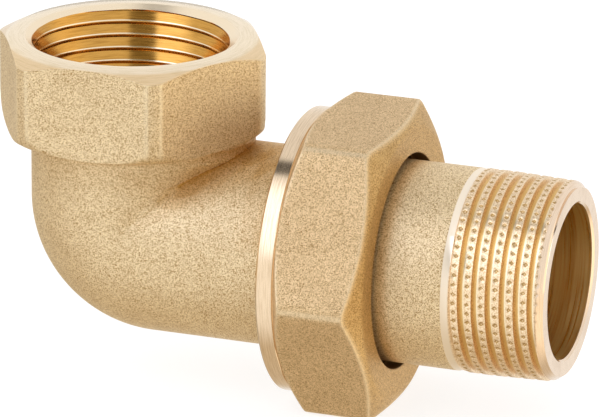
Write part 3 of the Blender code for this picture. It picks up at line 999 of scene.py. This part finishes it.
def bore_brass(name, along):
    """Brown bore with streaks round it; along is the axis, x or z, that it runs in."""
    material, tree, _, x, y, z = new_material(name)
    first, last = (x, z) if along == "x" else (z, x)
    lines = tool_lines(tree, first, y, last, 0.35 * MM, 50.0)
    colour = mix(tree, step(tree, lines, 0.35, 0.62), BORE_DARK, BORE_BROWN)
    rough = step(tree, lines, 0.3, 0.7, 0.26, 0.38)
    return finish_brass(material, tree, colour, rough, times(tree, lines, 0.2))


def washer_rubber():
    """Matt black rubber with a faint grain."""
    material, tree, position, *_ = new_material("black_rubber")
    grain = noise(tree, position, 2500.0)
    shader = tree.nodes["Principled BSDF"]
    tree.links.new(mix(tree, grain, RUBBER_DARK, RUBBER_LIGHT), shader.inputs["Base Color"])
    tree.links.new(step(tree, grain, 0.3, 0.7, 0.55, 0.75), shader.inputs["Roughness"])
    return material


def set_zones(made, materials, zone_of):
    """Give each face the material that zone_of picks from its centre."""
    made.data.materials.clear()
    for material in materials:
        made.data.materials.append(material)
    count = len(made.data.polygons)
    centre = np.empty(count * 3)
    made.data.polygons.foreach_get("center", centre)
    zone = zone_of(*centre.reshape(-1, 3).T)
    made.data.polygons.foreach_set("material_index", zone.astype(np.int32))


def tail_zone(x, y, z):
    """0 outside, 1 in the bore."""
    return np.where(np.hypot(y, z - AXIS_Z) < BORE_RADIUS + 0.02 * MM, 1, 0)


# ---------------------------------------------------------------- stage

def make_camera():
    """Camera at the product view: a long lens from the front right and a little above."""
    azimuth, elevation, roll = math.radians(19.44), math.radians(19.02), math.radians(0.58)
    target = Vector((29.48 * MM, 0, AXIS_Z + 6.70 * MM))
    distance_to_target = 874.3 * MM
    back = Vector((math.sin(azimuth) * math.cos(elevation),
                   -math.cos(azimuth) * math.cos(elevation),
                   math.sin(elevation)))
    level = Vector((math.cos(azimuth), math.sin(azimuth), 0))
    steep = back.cross(level)
    right = level * math.cos(roll) + steep * math.sin(roll)
    up = steep * math.cos(roll) - level * math.sin(roll)
    eye = target + back * distance_to_target
    data = bpy.data.cameras.new("camera")
    data.sensor_width = 36
    data.lens = 320.6
    data.clip_start = 0.01
    data.clip_end = 50
    camera = bpy.data.objects.new("camera", data)
    bpy.context.scene.collection.objects.link(camera)
    camera.matrix_world = Matrix((
        (right.x, up.x, back.x, eye.x),
        (right.y, up.y, back.y, eye.y),
        (right.z, up.z, back.z, eye.z),
        (0, 0, 0, 1)))
    bpy.context.scene.camera = camera


def lobe(tree, direction, towards, inner, outer):
    """1 within the inner angle of a direction, falling to 0 at the outer one, in degrees."""
    aimed = Vector(towards).normalized()
    dot = node(tree, "VectorMath", {0: direction, 1: aimed}, operation="DOT_PRODUCT").outputs["Value"]
    return step(tree, dot, math.cos(math.radians(outer)), math.cos(math.radians(inner)))


def card(tree, x, y, z, centre, half, soft):
    """1 on a rectangle overhead, given by its X and Y at unit height."""
    sides = []
    for value, middle, size in ((x, centre[0], half[0]), (y, centre[1], half[1])):
        away = distance(tree, maths(tree, "DIVIDE", value, z), middle)
        sides.append(step(tree, away, size - soft, size + soft, 1.0, 0.0))
    return times(tree, times(tree, *sides), step(tree, z, 0.2, 0.3))


def make_world():
    """White tent: bright in front, dim and warm below, with dark gaps overhead and in front.

    The gaps are what the turned and tapped metal shows as dark streaks.
    """
    world = bpy.data.worlds.new("studio")
    bpy.context.scene.world = world
    world.use_nodes = True
    tree = world.node_tree
    direction = node(tree, "TexCoord").outputs["Generated"]
    x, y, z = node(tree, "SeparateXYZ", {0: direction}).outputs
    colour = mix(tree, step(tree, z, -0.30, 0.10), (0.70, 0.60, 0.46, 1), (0.98, 0.98, 0.98, 1))
    lobes = [
        ("low behind on the left", (-0.72, 0.55, -0.38), 8, 32, (0.57, 0.51, 0.41, 1)),
        ("warm, low on the right", (0.93, 0.1, -0.3), 18, 50, (1.60, 1.43, 1.16, 1)),
        ("high behind", (-0.1, 0.50, 0.86), 14, 40, (0.92, 0.92, 0.94, 1)),
        ("low in front", (-0.3, -0.9, -0.25), 12, 55, (1.15, 1.14, 1.12, 1)),
        ("key, high in front", (-0.3, -0.72, 0.62), 10, 36, (1.82, 1.90, 2.16, 1)),
        ("low behind", (0.1, 0.95, -0.25), 22, 48, (0.98, 0.97, 0.95, 1)),
        ("dark gap in front", (0.14, -0.87, 0.47), 12, 17, (0.30, 0.27, 0.20, 1))]
    for _, towards, inner, outer, tone in lobes:
        colour = mix(tree, lobe(tree, direction, towards, inner, outer), colour, tone)
    gap_overhead = card(tree, x, y, z, (-0.23, -0.10), (0.18, 0.12), 0.04)
    colour = mix(tree, gap_overhead, colour, (0.04, 0.035, 0.03, 1))
    background = tree.nodes["Background"]
    tree.links.new(colour, background.inputs["Color"])
    background.inputs["Strength"].default_value = 1.0


def make_floor():
    """Plain pale floor, just under the fitting, that takes a faint shadow."""
    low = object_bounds()[0]
    bpy.ops.mesh.primitive_plane_add(size=6, location=(0.03, 0, low[2] - 0.1 * MM))
    floor = bpy.context.object
    floor.name = "floor"
    material = bpy.data.materials.new("pale_floor")
    material.use_nodes = True
    shader = material.node_tree.nodes["Principled BSDF"]
    shader.inputs["Base Color"].default_value = (0.35, 0.35, 0.35, 1)
    shader.inputs["Roughness"].default_value = 0.9
    shader.inputs["Specular IOR Level"].default_value = 0.0
    shader.inputs["Emission Color"].default_value = (1, 1, 1, 1)
    shader.inputs["Emission Strength"].default_value = 0.78
    floor.data.materials.append(material)
    floor.visible_glossy = False


def place(made, body, node_name):
    """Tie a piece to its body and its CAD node."""
    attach(made, body)
    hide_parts(node_name)


make_camera()

body = make_body([body_brass(), thread_brass(), bore_brass("bore_brass", "z")])
place(body, "elbow", "elbow_body")

nut = make_nut()
nut.data.materials.append(nut_brass())
place(nut, "nut", "union_nut")

tail = make_tail()
set_zones(tail, [tail_brass(), bore_brass("tail_bore_brass", "x")], tail_zone)
place(tail, "tail", "tail_piece")

washer = make_washer()
washer.data.materials.append(washer_rubber())
place(washer, "washer", "sealing_washer")

make_world()
make_floor()
bpy.context.scene.view_settings.view_transform = "Standard"
